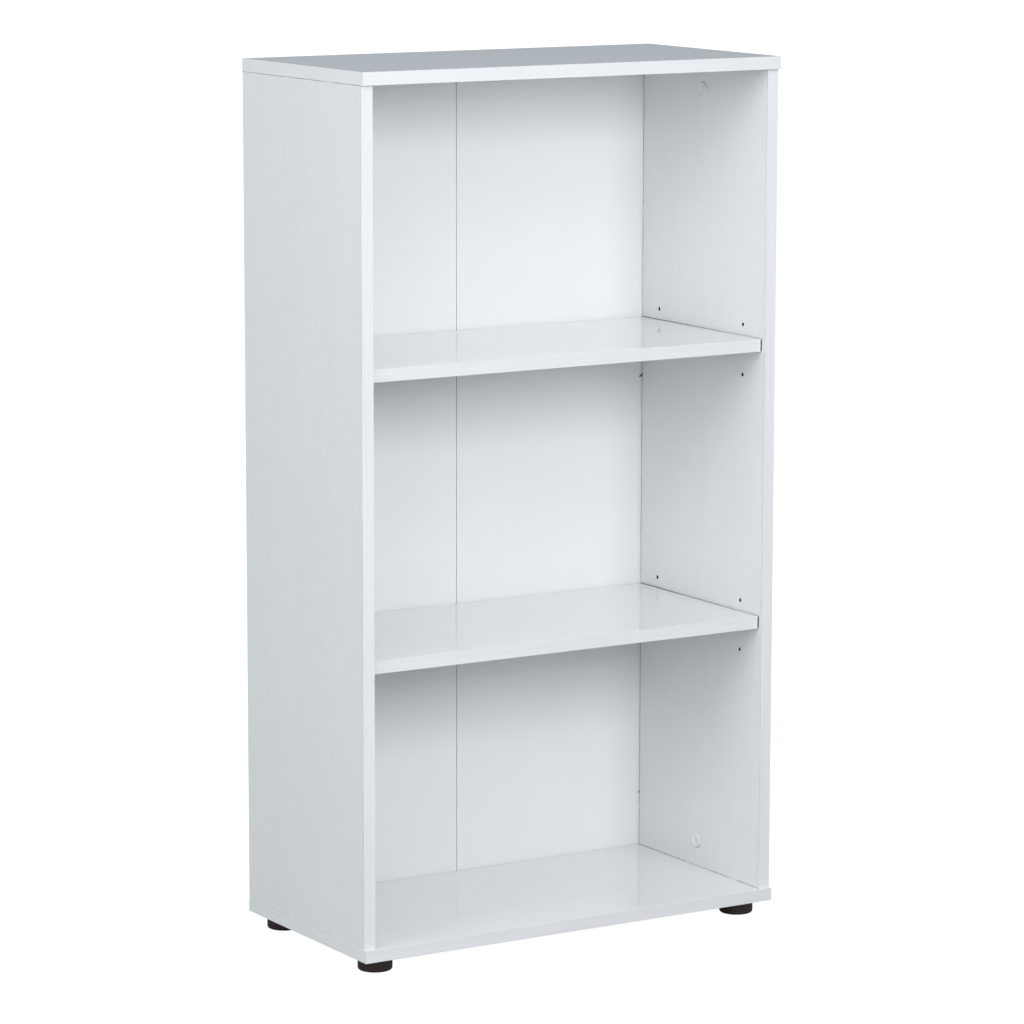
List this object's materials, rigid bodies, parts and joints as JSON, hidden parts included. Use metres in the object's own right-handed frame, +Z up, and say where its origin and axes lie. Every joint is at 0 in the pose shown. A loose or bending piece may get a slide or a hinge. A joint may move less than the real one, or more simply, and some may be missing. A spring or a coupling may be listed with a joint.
{
  "type": "open bookcase",
  "caption": "White open bookcase of faced boards on round feet, with loose shelves on pins, cam-locked corners and a thin folded back in grooves.",
  "frame": {"origin": "on the floor, under the middle of the case", "axes": "+X to the right as seen from the front, +Y to the back, +Z up"},
  "size_m": [0.6, 0.3, 1.1],
  "materials": {
    "white_melamine": "chipboard faced with white melamine, satin, with a faint upright grain",
    "white_edging": "thin white edge band, satin",
    "white_fibreboard": "thin hard fibreboard, white lacquer in front, bare brown behind",
    "fold_tape": "white paper tape, matt",
    "die_cast_zinc": "grey die-cast zinc, dull",
    "zinc_plated_steel": "bright zinc-plated steel",
    "white_cap_plastic": "moulded white plastic, satin",
    "beech": "fluted beech, bare",
    "dark_brown_plastic": "moulded dark brown plastic, satin"
  },
  "bodies": {
    "case": {"top_panel": "white_melamine", "bottom_panel": "white_melamine", "left_side": "white_melamine", "right_side": "white_melamine", "top_front_edging": "white_edging", "top_left_edging": "white_edging", "top_right_edging": "white_edging", "bottom_front_edging": "white_edging", "bottom_left_edging": "white_edging", "bottom_right_edging": "white_edging", "left_side_front_edging": "white_edging", "right_side_front_edging": "white_edging", "back_panel_left": "white_fibreboard", "back_panel_right": "white_fibreboard", "back_fold_tape": "fold_tape", "cam_locks": "die_cast_zinc", "cam_bolts": "zinc_plated_steel", "foot_screws": "zinc_plated_steel", "upper_shelf_pins": "zinc_plated_steel", "lower_shelf_pins": "zinc_plated_steel", "cam_cover_caps": "white_cap_plastic", "dowels": "beech", "foot_front_left": "dark_brown_plastic", "foot_front_right": "dark_brown_plastic", "foot_rear_left": "dark_brown_plastic", "foot_rear_right": "dark_brown_plastic"},
    "upper_shelf_body": {"upper_shelf": "white_melamine", "upper_shelf_front_edging": "white_edging"},
    "lower_shelf_body": {"lower_shelf": "white_melamine", "lower_shelf_front_edging": "white_edging"}
  },
  "joints": [
    {"name": "upper_shelf_slide", "type": "slide", "parent": "case", "child": "upper_shelf_body", "axis": [0, -1, 0], "range_m": [0, 0.3]},
    {"name": "lower_shelf_slide", "type": "slide", "parent": "case", "child": "lower_shelf_body", "axis": [0, -1, 0], "range_m": [0, 0.3]}
  ]
}
